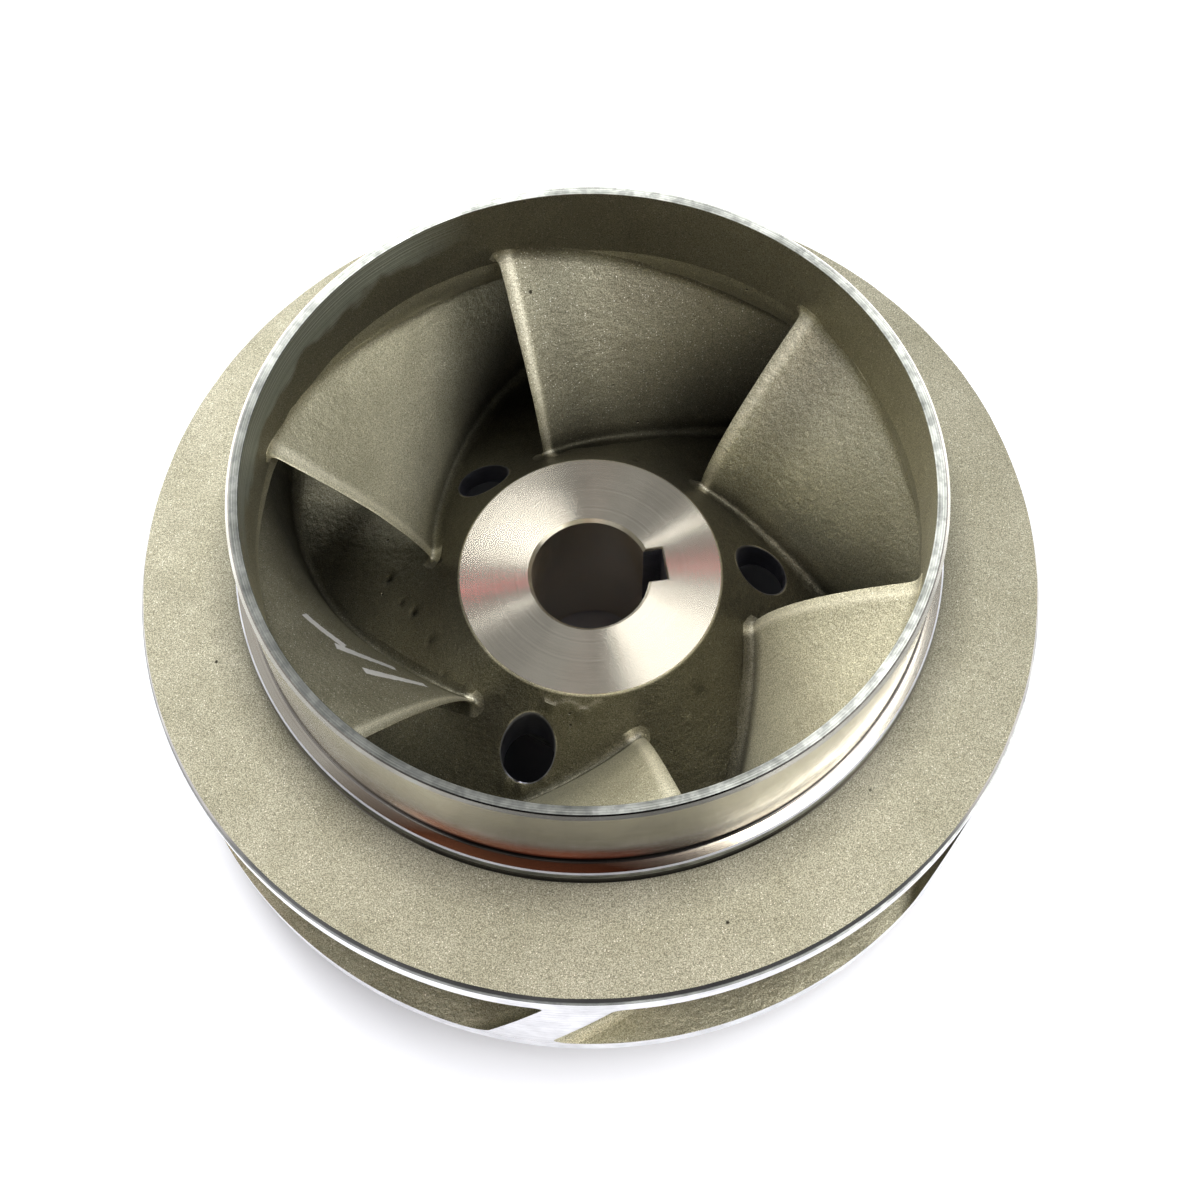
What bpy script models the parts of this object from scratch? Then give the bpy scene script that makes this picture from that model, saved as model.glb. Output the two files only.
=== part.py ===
"""Closed, single-entry pump impeller: one stainless casting with its running surfaces turned.

The axis is +Z and the eye looks up. Heights are measured from the rim's rear face. The hub
stands out behind it, and the finished casting is lifted so that the hub's rear face, which it
rests on, lies at z = 0. The front shroud, the back shroud and the six vanes are modelled
oversize as the foundry casts them, joined into one body, and then turned, drilled and slotted
as the machine shop does. Sizes are in millimetres and are turned into metres where a mesh is
made.
"""

import math

import bmesh
import bpy
import numpy as np

MM = 0.001
STEPS = 72                      # facets round every turned shape

# Whole impeller
OUTER_RADIUS = 104.0            # after turning
TURNING_ALLOWANCE = 1.5         # what the casting has extra on that radius
HEIGHT = 84.0                   # rim's rear face to the top of the neck

# Neck at the eye, with the running band and the ledge under it
EYE_RADIUS = 74.2
NECK_RADIUS = 77.0
NECK_CHAMFER = 0.9
LEDGE_RADIUS = 80.0
LEDGE_TOP = 57.2
LEDGE_FOOT = 51.7
WALL_TURNS_OUT = 61.0           # height where the eye's wall starts to bend outwards

# Rim of the front shroud
FRONT_RIM_UNDERSIDE = 38.7
FRONT_RIM_BAND_TOP = 43.7
FRONT_RIM_EDGE_RADIUS = 103.1
FRONT_RIM_EDGE = 46.2

# Hub and back shroud
HUB_RADIUS = 31.1
HUB_FACE = 36.5
HUB_REAR_RADIUS = 27.0
HUB_REAR_LENGTH = 14.5          # how far the hub stands out behind the rim
BACK_RIM_THICKNESS = 5.3
HUB_CURVE_POWER = 3.09          # how fast the hub's flank flattens into the back shroud
BORE_RADIUS = 14.0
BORE_CHAMFER = 0.8
KEYWAY_WIDTH = 8.0
KEYWAY_DEPTH = 3.9
KEYWAY_ANGLE = 7.0

# Balance chamber behind the back shroud
CHAMBER_RADIUS = 60.0
CHAMBER_DEPTH = 5.5
CHAMBER_ROOF_RADIUS = 57.0
CHAMBER_INNER_RADIUS = 34.0
CHAMBER_INNER_DEPTH = 19.0
REAR_CHAMFER = 0.6

# Balance holes
HOLES = 3
HOLE_RADIUS = 6.3
HOLE_CIRCLE = 42.3
FIRST_HOLE_ANGLE = 8.0

# Vanes: the face seen from the eye runs along the hub and along the front shroud
VANES = 6
VANE_START_RADIUS = 39.7        # at the hub
VANE_START_HEIGHT = 64.9        # at the eye's wall
VANE_START_ANGLE = 104.4
HUB_END_ANGLE = 14.8
SHROUD_END_ANGLE = 23.2
HUB_WRAP = (0.76, 9.5)          # even share of the wrap, and how early the rest comes
SHROUD_WRAP = (0.46, 2.9)
EDGE_SAG_RADIUS = 6.5           # how far the leading edge bows in from a straight line
EDGE_SAG_HEIGHT = 1.4
VANE_THICKNESS_ANGLE = 8.2      # measured round the axis
NOSE_SHARE = 0.05               # part of the vane's length over which its nose rounds
ROOT_DEPTH = 1.3                # how far a vane reaches into the walls
ALONG = 14                      # grid cells along a vane
ACROSS = 5                      # grid cells from hub to shroud

SHARP_FROM = 30.0               # degrees between two faces past which their edge stays sharp
STAINLESS = (0.42, 0.40, 0.34, 1.0)


def clear_scene():
    for thing in list(bpy.data.objects):
        bpy.data.objects.remove(thing, do_unlink=True)


def new_collection(name):
    group = bpy.data.collections.new(name)
    bpy.context.scene.collection.children.link(group)
    return group


def make_material(name, colour, metallic, roughness):
    material = bpy.data.materials.new(name)
    material.use_nodes = True
    shader = material.node_tree.nodes["Principled BSDF"]
    shader.inputs["Base Color"].default_value = colour
    shader.inputs["Metallic"].default_value = metallic
    shader.inputs["Roughness"].default_value = roughness
    return material


def helper(thing, group):
    """Marks an object as a tool that shapes the casting and is no part of it."""
    group.objects.link(thing)
    thing.hide_render = True
    thing.display_type = "WIRE"
    return thing


def hub_height(radius):
    """Height of the hub's flank and the back shroud at a radius, as the water sees them."""
    share = np.clip((OUTER_RADIUS - radius) / (OUTER_RADIUS - HUB_RADIUS), 0.0, None)
    return BACK_RIM_THICKNESS + (HUB_FACE - BACK_RIM_THICKNESS) * share ** HUB_CURVE_POWER


def shroud_arc(turn):
    """Point on the quarter ellipse that takes the eye's wall out to the rim, for 0 to 90 degrees."""
    reach = OUTER_RADIUS - EYE_RADIUS
    drop = WALL_TURNS_OUT - FRONT_RIM_UNDERSIDE
    return OUTER_RADIUS - reach * math.cos(turn), WALL_TURNS_OUT - drop * math.sin(turn)


def turned(name, outline, group, closed=True):
    """A profile of (radius, height) points, outer side running down, carried round the axis."""
    mesh = bpy.data.meshes.new(name)
    count = len(outline)
    edges = [(i, i + 1) for i in range(count - 1)]
    if closed:
        edges.append((count - 1, 0))
    mesh.from_pydata([(r * MM, 0.0, z * MM) for r, z in outline], edges, [])
    thing = bpy.data.objects.new(name, mesh)
    group.objects.link(thing)
    screw = thing.modifiers.new("turn", "SCREW")
    screw.steps = STEPS
    screw.render_steps = STEPS
    screw.use_merge_vertices = True
    screw.merge_threshold = 0.0001
    return thing


def front_shroud_outline():
    """The neck, its ledge and the front shroud, with its rim still oversize."""
    cast_radius = OUTER_RADIUS + TURNING_ALLOWANCE
    slope = (FRONT_RIM_EDGE - LEDGE_FOOT) / (FRONT_RIM_EDGE_RADIUS - LEDGE_RADIUS)
    outline = [
        (EYE_RADIUS, HEIGHT),
        (NECK_RADIUS - NECK_CHAMFER, HEIGHT),
        (NECK_RADIUS, HEIGHT - NECK_CHAMFER),
        (NECK_RADIUS, LEDGE_TOP),
        (LEDGE_RADIUS, LEDGE_TOP),
        (LEDGE_RADIUS, LEDGE_FOOT),
        (cast_radius, LEDGE_FOOT + slope * (cast_radius - LEDGE_RADIUS)),
        (cast_radius, FRONT_RIM_UNDERSIDE),
    ]
    outline += [shroud_arc(math.radians(turn)) for turn in range(90, -1, -15)]
    return outline


def back_shroud_outline():
    """The bored hub, the back shroud with its rim still oversize, and the chamber behind it."""
    cast_radius = OUTER_RADIUS + TURNING_ALLOWANCE
    flank = HUB_RADIUS + (OUTER_RADIUS - HUB_RADIUS) * np.linspace(0.0, 1.0, 11) ** 1.3
    outline = [
        (BORE_RADIUS, HUB_FACE - BORE_CHAMFER),
        (BORE_RADIUS + BORE_CHAMFER, HUB_FACE),
    ]
    outline += [(float(radius), float(hub_height(radius))) for radius in flank]
    outline += [
        (cast_radius, BACK_RIM_THICKNESS),
        (cast_radius, 0.0),
        (CHAMBER_RADIUS, 0.0),
        (CHAMBER_RADIUS, CHAMBER_DEPTH),
        (CHAMBER_ROOF_RADIUS, CHAMBER_DEPTH),
        (CHAMBER_INNER_RADIUS, CHAMBER_INNER_DEPTH),
        (HUB_REAR_RADIUS, CHAMBER_INNER_DEPTH - 2.0),
        (HUB_REAR_RADIUS, REAR_CHAMFER - HUB_REAR_LENGTH),
        (HUB_REAR_RADIUS - REAR_CHAMFER, -HUB_REAR_LENGTH),
        (BORE_RADIUS + BORE_CHAMFER, -HUB_REAR_LENGTH),
        (BORE_RADIUS, BORE_CHAMFER - HUB_REAR_LENGTH),
    ]
    return outline


def turning_envelope_outline():
    """What the lathe leaves outside: the rim's cylinder and the bevel above it."""
    lean = (OUTER_RADIUS - FRONT_RIM_EDGE_RADIUS) / (FRONT_RIM_EDGE - FRONT_RIM_BAND_TOP)
    top = HEIGHT + 10.0
    bottom = -HUB_REAR_LENGTH - 10.0
    return [
        (0.0, top),
        (OUTER_RADIUS - lean * (top - FRONT_RIM_BAND_TOP), top),
        (OUTER_RADIUS, FRONT_RIM_BAND_TOP),
        (OUTER_RADIUS, bottom),
        (0.0, bottom),
    ]


def wrapped(share, wrap):
    """Share of the wrap angle reached after a share of the way out."""
    even, early = wrap
    inside = np.clip(1.0 - share, 0.0, None)
    return even * share + (1.0 - even) * (1.0 - inside ** early)


def shroud_path(share):
    """Radius and height along the eye's wall and the front shroud, evenly by length."""
    turns = np.radians(np.linspace(0.0, 90.0, 91))
    arc = np.array([shroud_arc(turn) for turn in turns])
    points = np.vstack([[EYE_RADIUS, VANE_START_HEIGHT], arc])
    length = np.concatenate([[0.0], np.cumsum(np.hypot(*np.diff(points, axis=0).T))])
    radius = np.interp(share, length / length[-1], points[:, 0])
    height = np.interp(share, length / length[-1], points[:, 1])
    beyond = np.clip(share - 1.0, 0.0, None) * length[-1]
    return radius + beyond, height


def vane_grid():
    """Radius, height and angle of one vane's visible face: rows run from hub to shroud."""
    last = 1.0 + 2.0 * TURNING_ALLOWANCE / (OUTER_RADIUS - VANE_START_RADIUS)
    out = last * (np.linspace(0.0, 1.0, ALONG + 1) ** 1.4)[:, None]
    up = np.linspace(0.0, 1.0, ACROSS + 1)[None, :]
    hub_radius = VANE_START_RADIUS + out * (OUTER_RADIUS - VANE_START_RADIUS)
    hub_z = hub_height(hub_radius)
    shroud_radius, shroud_z = shroud_path(out)
    span = np.hypot(shroud_radius - hub_radius, shroud_z - hub_z)
    reach = up * (1.0 + 2.0 * ROOT_DEPTH / span) - ROOT_DEPTH / span
    bow = 4.0 * up * (1.0 - up) * np.clip(1.0 - out, 0.0, None) ** 2
    radius = hub_radius + reach * (shroud_radius - hub_radius) - EDGE_SAG_RADIUS * bow
    height = hub_z + reach * (shroud_z - hub_z) - EDGE_SAG_HEIGHT * bow
    hub_angle = (VANE_START_ANGLE - HUB_END_ANGLE) * wrapped(out, HUB_WRAP)
    shroud_angle = (VANE_START_ANGLE - SHROUD_END_ANGLE) * wrapped(out, SHROUD_WRAP)
    angle = VANE_START_ANGLE - hub_angle - reach * (shroud_angle - hub_angle)
    nose = np.clip(1.0 - out / NOSE_SHARE, 0.0, None)
    thickness = VANE_THICKNESS_ANGLE * np.sqrt(1.0 - nose ** 2)
    return radius, height, angle, thickness


def vane_points(radius, height, angle):
    turn = np.radians(angle)
    grid = np.stack([radius * np.cos(turn), radius * np.sin(turn), height + 0.0 * turn], axis=-1)
    return grid.reshape(-1, 3) * MM


def vane_mesh(name):
    """All vanes in one mesh. Each is a loft: its visible face, its hidden face one thickness
    further round the axis, and the strips that close the roots and the tip."""
    radius, height, angle, thickness = vane_grid()
    rows, columns = radius.shape
    index = np.arange(rows * columns).reshape(rows, columns)
    front = index
    back = index + rows * columns
    strips = [
        quads(front),
        quads(back)[:, ::-1],
        quads(np.stack([back[:, 0], front[:, 0]], axis=1)),
        quads(np.stack([front[:, -1], back[:, -1]], axis=1)),
        quads(np.stack([front[-1], back[-1]], axis=0)),
    ]
    faces = np.concatenate(strips)
    points = []
    all_faces = []
    for number in range(VANES):
        turn = 360.0 / VANES * number
        all_faces.append(faces + 2 * rows * columns * number)
        points.append(vane_points(radius, height, angle + turn))
        points.append(vane_points(radius, height, angle + thickness + turn))
    mesh = bpy.data.meshes.new(name)
    mesh.from_pydata(np.concatenate(points).tolist(), [], np.concatenate(all_faces).tolist())
    tidy_mesh(mesh)
    return mesh


def quads(index):
    """Four-cornered faces of a grid of vertex numbers."""
    corners = [index[:-1, :-1], index[1:, :-1], index[1:, 1:], index[:-1, 1:]]
    return np.stack(corners, axis=-1).reshape(-1, 4)


def tidy_mesh(mesh):
    """Joins the two faces along the nose, makes the twisted cells flat triangles, and points
    every face outwards."""
    work = bmesh.new()
    work.from_mesh(mesh)
    bmesh.ops.remove_doubles(work, verts=work.verts, dist=0.00001)
    bmesh.ops.triangulate(work, faces=work.faces)
    bmesh.ops.recalc_face_normals(work, faces=work.faces)
    work.to_mesh(mesh)
    work.free()


def cut(thing, tool, operation):
    boolean = thing.modifiers.new(tool.name, "BOOLEAN")
    boolean.operation = operation
    boolean.solver = "EXACT"
    boolean.object = tool


def drill(name, radius, angle, group):
    """A cylinder for a hole through the back shroud, parallel to the axis."""
    turn = math.radians(angle)
    mesh = bpy.data.meshes.new(name)
    work = bmesh.new()
    bmesh.ops.create_cone(
        work,
        cap_ends=True,
        segments=24,
        radius1=radius * MM,
        radius2=radius * MM,
        depth=HEIGHT * MM,
    )
    work.to_mesh(mesh)
    work.free()
    thing = helper(bpy.data.objects.new(name, mesh), group)
    thing.location = (HOLE_CIRCLE * math.cos(turn) * MM, HOLE_CIRCLE * math.sin(turn) * MM, 0.0)
    return thing


def keyway_tool(group):
    """A bar that slots the bore from end to end."""
    mesh = bpy.data.meshes.new("keyway_tool")
    work = bmesh.new()
    bmesh.ops.create_cube(work, size=1.0)
    depth = BORE_RADIUS + KEYWAY_DEPTH
    bmesh.ops.scale(work, vec=(depth * MM, KEYWAY_WIDTH * MM, 3.0 * HUB_FACE * MM), verts=work.verts)
    bmesh.ops.translate(work, vec=(0.5 * depth * MM, 0.0, 0.0), verts=work.verts)
    work.to_mesh(mesh)
    work.free()
    thing = helper(bpy.data.objects.new("keyway_tool", mesh), group)
    thing.rotation_euler = (0.0, 0.0, math.radians(KEYWAY_ANGLE))
    return thing


def shade_round(thing):
    """Takes the joined and turned shape as the casting's own mesh, then shades it smooth
    except at its corners."""
    bpy.context.view_layer.update()
    graph = bpy.context.evaluated_depsgraph_get()
    mesh = bpy.data.meshes.new_from_object(thing.evaluated_get(graph))
    thing.modifiers.clear()
    thing.data = mesh
    mesh.shade_smooth()
    mesh.set_sharp_from_angle(angle=math.radians(SHARP_FROM))


def build():
    clear_scene()
    parts = new_collection("pump_impeller")
    tools = new_collection("foundry_and_machining_tools")

    casting = turned("impeller_casting", back_shroud_outline(), parts)
    front = turned("front_shroud_blank", front_shroud_outline(), tools)
    vanes = bpy.data.objects.new("vane_blanks", vane_mesh("vane_blanks"))
    envelope = turned("turning_envelope", turning_envelope_outline(), tools, closed=False)
    tools.objects.link(vanes)
    for thing in (front, vanes, envelope):
        thing.hide_render = True
        thing.display_type = "WIRE"

    for number in range(HOLES):
        angle = FIRST_HOLE_ANGLE + 360.0 / HOLES * number
        cut(casting, drill(f"balance_hole_drill_{number + 1}", HOLE_RADIUS, angle, tools), "DIFFERENCE")
    cut(casting, keyway_tool(tools), "DIFFERENCE")
    cut(casting, front, "UNION")
    cut(casting, vanes, "UNION")
    cut(casting, envelope, "INTERSECT")
    shade_round(casting)
    for thing in list(parts.objects) + list(tools.objects):
        thing.location.z += HUB_REAR_LENGTH * MM

    material = make_material("cast_stainless_steel", STAINLESS, 1.0, 0.45)
    casting.data.materials.clear()
    casting.data.materials.append(material)


build()
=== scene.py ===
"""Closed pump impeller, cast in stainless steel, bead blasted, and turned bright at the neck,
the hub and the rims. It lies on its back on a white table, seen from above its eye.

Lengths are in millimetres up to the point where a mesh is made. The axis is +Z, and heights
are measured from the rim's rear face, which the hub's rear end holds up off the table.
"""

import functools
import math

import bmesh
import bpy
import numpy as np
from mathutils import Euler, Matrix, Vector


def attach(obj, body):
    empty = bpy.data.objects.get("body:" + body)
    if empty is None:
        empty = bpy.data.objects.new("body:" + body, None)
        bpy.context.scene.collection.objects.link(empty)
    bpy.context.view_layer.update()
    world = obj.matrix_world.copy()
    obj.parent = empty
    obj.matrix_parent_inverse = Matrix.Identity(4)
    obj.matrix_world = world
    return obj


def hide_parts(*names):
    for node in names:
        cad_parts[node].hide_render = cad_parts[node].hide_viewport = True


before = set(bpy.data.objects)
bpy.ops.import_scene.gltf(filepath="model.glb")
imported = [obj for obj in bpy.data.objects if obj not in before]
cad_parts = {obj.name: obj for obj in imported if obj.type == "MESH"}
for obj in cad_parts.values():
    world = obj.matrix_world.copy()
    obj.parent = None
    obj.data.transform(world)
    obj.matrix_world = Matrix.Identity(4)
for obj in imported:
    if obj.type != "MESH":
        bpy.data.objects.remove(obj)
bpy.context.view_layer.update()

MM = 0.001
AROUND = 360                    # columns round the axis, one a degree
SAME_PLACE = 1e-7               # metres between points that are one
SHARP_FROM = 38.0               # degrees between faces past which their edge stays sharp
BODY = "root"
NODE = "impeller_casting"

# Front shroud and neck
OUTER_RADIUS = 104.0
HEIGHT = 84.0
EYE_RADIUS = 74.2
NECK_RADIUS = 77.0
NECK_CHAMFER = 0.9
EYE_BREAK = 0.12                # the broken edge between the eye's wall and the top face
LEDGE_RADIUS = 80.0
LEDGE_TOP = 57.2
LEDGE_FOOT = 51.7
LEDGE_CORNER = 0.6              # the hollow corner's radius
EDGE_BREAK = 0.35               # width of a broken edge
WALL_TURNS_OUT = 61.0
FRONT_RIM_UNDERSIDE = 38.7
FRONT_RIM_BAND_TOP = 43.7
FRONT_RIM_EDGE_RADIUS = 103.1
FRONT_RIM_EDGE = 46.2

# Hub, bore and back shroud
HUB_RADIUS = 31.1
HUB_FACE = 36.5
HUB_BREAK = 0.15                # the broken edge of its face
HUB_REAR_RADIUS = 27.0
HUB_REAR_LENGTH = 14.5          # how far the hub stands out behind the rim
BACK_RIM = 5.3
HUB_CURVE_POWER = 3.09
BORE_RADIUS = 14.0
BORE_CHAMFER = 0.8
KEYWAY_WIDTH = 8.0
KEYWAY_DEPTH = 3.9
KEYWAY_ANGLE = 7.0
KEYWAY_BOTTOM = 13              # columns from the middle of its floor to its corner
KEYWAY_SIDE = 17                # and on to its mouth
CHAMBER_RADIUS = 60.0
CHAMBER_DEPTH = 5.5
CHAMBER_ROOF_RADIUS = 57.0
CHAMBER_INNER_RADIUS = 34.0
CHAMBER_INNER_DEPTH = 19.0
REAR_CHAMFER = 0.6
HOLE_RADIUS = 6.3
HOLE_CIRCLE = 42.3
HOLE_ANGLES = (8, 128, 248)
WINDOW_ROWS = 29                # rows of points, and half the columns, of a hole's window
WINDOW_HALF = 13
WINDOW_INNER = 33.0             # radii between which it lies in the flank
WINDOW_OUTER = 52.0
ROOF_WINDOW_INNER = 34.4        # and in the chamber's roof
ROOF_WINDOW_OUTER = 51.0

# Marks that the foundry left: radius, angle in degrees, width and height
SEAM = [(33.3 + 0.7 * math.sin(0.75 * i), -110.0 + 1.5 * i, 0.65, 0.6) for i in range(16)]
FLANK_MARKS = SEAM + [
    (49.6, -111.0, 1.1, 0.7), (49.5, -115.5, 1.3, 0.5), (47.5, -104.5, 1.2, 0.4),
    (51.1, 168.9, 1.1, -0.7), (43.1, -176.8, 1.0, -0.7), (46.5, 178.0, 0.9, -0.5), (37.3, 166.7, 0.8, -0.4),
    (40.4, -163.9, 1.1, -0.4), (38.5, -139.0, 1.0, 0.35), (37.2, -48.1, 1.2, -0.3), (40.5, -56.5, 1.1, 0.3),
    (36.0, 70.0, 0.9, -0.4), (35.2, -128.0, 1.0, 0.3), (41.0, -150.0, 0.8, -0.35), (44.5, -72.0, 1.2, 0.25),
]
FLANK_MARK_SCALE = 1.5          # applied to their heights
CONE_MARKS = [
    (83.0, -94.3, 1.0, 0.7), (85.2, -154.2, 0.8, -0.35), (90.6, -7.8, 0.7, -0.3), (94.4, -3.4, 0.7, -0.3),
]

# The mould's unevenness: layers of waves, each with a height, a distance between crests and a seed
FLANGE_SKIN = [(0.1, 17.0, 5), (0.05, 6.0, 6)]
HUB_SKIN = [(0.12, 15.0, 8), (0.06, 5.0, 9)]
VANE_SKIN = [(0.1, 13.0, 21), (0.05, 5.0, 22)]
VANE_SKIN_WAY = (0.5, 0.0, 0.7)  # the way in which it moves a vane
LIP_PATCHES = [(1.3, 9.0, 31)]  # the same, for where the balance holes' lips are worn

# Wear and painted light: from 1 on the brightest edges and painted highlights, through 0,
# down to -1 on the dullest metal and painted shadows
BUMP_WEAR = 0.1                 # for each millimetre of a mark's height
PIT_WEAR = 1.6
HUB_EDGE_WEAR = 0.9
LIP_WEAR = 0.7
# Strength of the painted shadow behind some vanes' leading edges
PAINTED_EDGE_SHADOW = 0.36

# Vanes
VANES = 6
VANE_START_RADIUS = 39.7
VANE_START_HEIGHT = 64.9
VANE_START_ANGLE = 104.4
HUB_END_ANGLE = 14.8
SHROUD_END_ANGLE = 23.2
HUB_WRAP = (0.76, 9.5)          # share of the wrap that comes evenly, and how early the rest comes
SHROUD_WRAP = (0.46, 2.9)
EDGE_SAG_RADIUS = 6.5           # how far the leading edge sags inwards, and down
EDGE_SAG_HEIGHT = 1.4
VANE_THICKNESS_ANGLE = 8.2
VANES_WITH_PAINTED_EDGE_SHADOW = (0, 5)       # a painted shadow behind the leading edge; vanes are counted from 0
PAINTED_VANE = 2
PAINT_STROKES = (               # two ends of each, as shares of the way out and of the way up
    ((0.248, 0.724), (0.17, 0.568)), ((0.168, 0.643), (0.108, 0.317)), ((0.1, 0.608), (0.05, 0.281)),
)
PAINT_WIDTH = 2.6
PAINT_RAGGED = 0.78             # how far its edge wanders
PAINT_COVERS = 0.92             # how much of the metal it hides
NOSE_SHARE = 0.011              # part of a vane's length that its round nose takes
NOSE_THICKNESS = 0.24           # the nose's thickness, as a share of the vane's
NOSE_GROWS = 0.2                # part of the length over which the vane reaches its thickness
BEAD = 0.024                    # how far the leading edge's bead stands proud, as the same share
HUB_FILLET = 3.2
SHROUD_FILLET = 2.0
SUNK = 0.9                      # how deep both ends of a vane go into the walls
TIP_BACK = 0.12                 # how far these sunk ends stay behind the rims


# Numbers and grids

def unevenness(points, size, seed):
    """Between about -1 and 1: the mean of twelve sine waves whose crests lie about one size
    apart and run in twelve directions, as a sand or shell mould leaves them."""
    draw = np.random.default_rng(seed)
    ways = draw.normal(size=(12, 3))
    ways *= (2.0 * math.pi / size) * draw.uniform(0.6, 1.4, (12, 1)) / np.linalg.norm(ways, axis=1)[:, None]
    starts = draw.uniform(0.0, 2.0 * math.pi, 12)
    return np.sin(points @ ways.T + starts).sum(axis=-1) / 5.0


def skin(points, layers):
    """How far the mould's unevenness moves a cast surface: the sum of its layers of waves."""
    return sum(height * unevenness(points, size, seed) for height, size, seed in layers)


def smooth_step(value, low, high):
    """0 up to low, 1 from high on, and an even S between them."""
    share = np.clip((value - low) / (high - low), 0.0, 1.0)
    return share * share * (3.0 - 2.0 * share)


def on_axis(radius, angle, height):
    """Points from radius, angle in degrees and height, as an array ending in x, y, z."""
    turn = np.radians(angle)
    radius, turn, height = np.broadcast_arrays(radius, turn, height)
    return np.stack([radius * np.cos(turn), radius * np.sin(turn), height], axis=-1)


def marks(x, y, places):
    """Sum of small round bumps, or pits when the height is negative, from lists of radius,
    angle, width and height."""
    radius, angle, width, height = np.array(places).T
    centre = on_axis(radius, angle, 0.0)
    far = (x[..., None] - centre[:, 0]) ** 2 + (y[..., None] - centre[:, 1]) ** 2
    return (height * np.exp(-far / width ** 2)).sum(axis=-1)


def length_along(radius, height):
    """Length of a line of points from its first point to each of them."""
    return np.concatenate([[0.0], np.cumsum(np.hypot(np.diff(radius), np.diff(height)))])


def band_cells(upper, lower):
    """Corner numbers of every cell between rows of numbers and the rows below them, where each
    row closes on itself."""
    return np.stack([upper, lower, np.roll(lower, -1, axis=-1), np.roll(upper, -1, axis=-1)], axis=-1)


def ring_cells(rows, columns):
    """Corner numbers of every cell of a grid that closes on itself both ways."""
    index = np.arange(rows * columns).reshape(rows, columns)
    return band_cells(index, np.roll(index, -1, axis=0))


def strip_cells(index):
    """Corner numbers of every cell between the rows and columns of an array of numbers."""
    corners = [index[:-1, :-1], index[1:, :-1], index[1:, 1:], index[:-1, 1:]]
    return np.stack(corners, axis=-1).reshape(-1, 4)


def casting_piece(name, points, cells, cell_slots, finishes, wear_and_painted_light=None):
    """One closed piece of the casting from points in millimetres and lists of corner numbers.
    Points that no cell uses are dropped, and faces are turned outwards. The attribute that
    every cast finish reads is above 0 on edges bright from wear and on painted highlights, and
    below 0 where metal is dull and where a shadow is painted."""
    used = np.unique(np.concatenate([np.ravel(c) for c in cells]))
    renumber = np.full(len(points), -1)
    renumber[used] = np.arange(len(used))
    mesh = bpy.data.meshes.new(name)
    faces = [renumber[np.asarray(c)].tolist() for c in cells]
    lifted = points[used] + np.array([0.0, 0.0, HUB_REAR_LENGTH])
    mesh.from_pydata((lifted * MM).tolist(), [], faces)
    for finish in finishes:
        mesh.materials.append(finish)
    mesh.polygons.foreach_set("material_index", np.asarray(cell_slots, dtype=np.int32))
    wear_and_light = np.zeros(len(points)) if wear_and_painted_light is None else wear_and_painted_light
    mesh.attributes.new("wear_and_painted_light", "FLOAT", "POINT").data.foreach_set("value", wear_and_light[used].astype(np.float32))
    work = bmesh.new()
    work.from_mesh(mesh)
    bmesh.ops.remove_doubles(work, verts=work.verts, dist=SAME_PLACE)
    bmesh.ops.recalc_face_normals(work, faces=work.faces)
    work.to_mesh(mesh)
    work.free()
    mesh.shade_smooth()
    mesh.set_sharp_from_angle(angle=math.radians(SHARP_FROM))
    piece = bpy.data.objects.new(name, mesh)
    bpy.context.scene.collection.objects.link(piece)
    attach(piece, BODY)
    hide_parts(NODE)
    return piece


# The walls that the water runs between

def hub_height(radius):
    """The hub's flank and the back shroud: the rim's thickness plus the hub's rise times the
    share of the way in, raised to a power."""
    share = np.clip((OUTER_RADIUS - radius) / (OUTER_RADIUS - HUB_RADIUS), 0.0, None)
    return BACK_RIM + (HUB_FACE - BACK_RIM) * share ** HUB_CURVE_POWER


def shroud_arc(turn):
    """The quarter ellipse from the eye's wall out to the rim's underside."""
    reach = OUTER_RADIUS - EYE_RADIUS
    drop = WALL_TURNS_OUT - FRONT_RIM_UNDERSIDE
    return OUTER_RADIUS - reach * np.cos(turn), WALL_TURNS_OUT - drop * np.sin(turn)


SHROUD_TURNS = np.radians(np.linspace(0.0, 90.0, 181))
SHROUD_LINE = np.vstack([[EYE_RADIUS, VANE_START_HEIGHT], np.stack(shroud_arc(SHROUD_TURNS), axis=-1)])
SHROUD_LENGTHS = length_along(*SHROUD_LINE.T)
SHROUD_LENGTH = SHROUD_LENGTHS[-1]
HUB_STATIONS = np.linspace(HUB_RADIUS, OUTER_RADIUS + 10.0, 400)
HUB_LENGTHS = length_along(HUB_STATIONS, hub_height(HUB_STATIONS))


def shroud_path(share):
    """Radius and height along the eye's wall and the front shroud, evenly by length. Below 0
    it climbs the eye's wall."""
    radius = np.interp(share, SHROUD_LENGTHS / SHROUD_LENGTH, SHROUD_LINE[:, 0])
    height = np.interp(share, SHROUD_LENGTHS / SHROUD_LENGTH, SHROUD_LINE[:, 1])
    return radius, height + np.clip(-share, 0.0, None) * SHROUD_LENGTH


def wrapped(share, wrap):
    """Share of the wrap angle reached after a share of the way out: an even part, and a part
    that comes early."""
    even, early = wrap
    return even * share + (1.0 - even) * (1.0 - np.clip(1.0 - share, 0.0, None) ** early)


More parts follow.
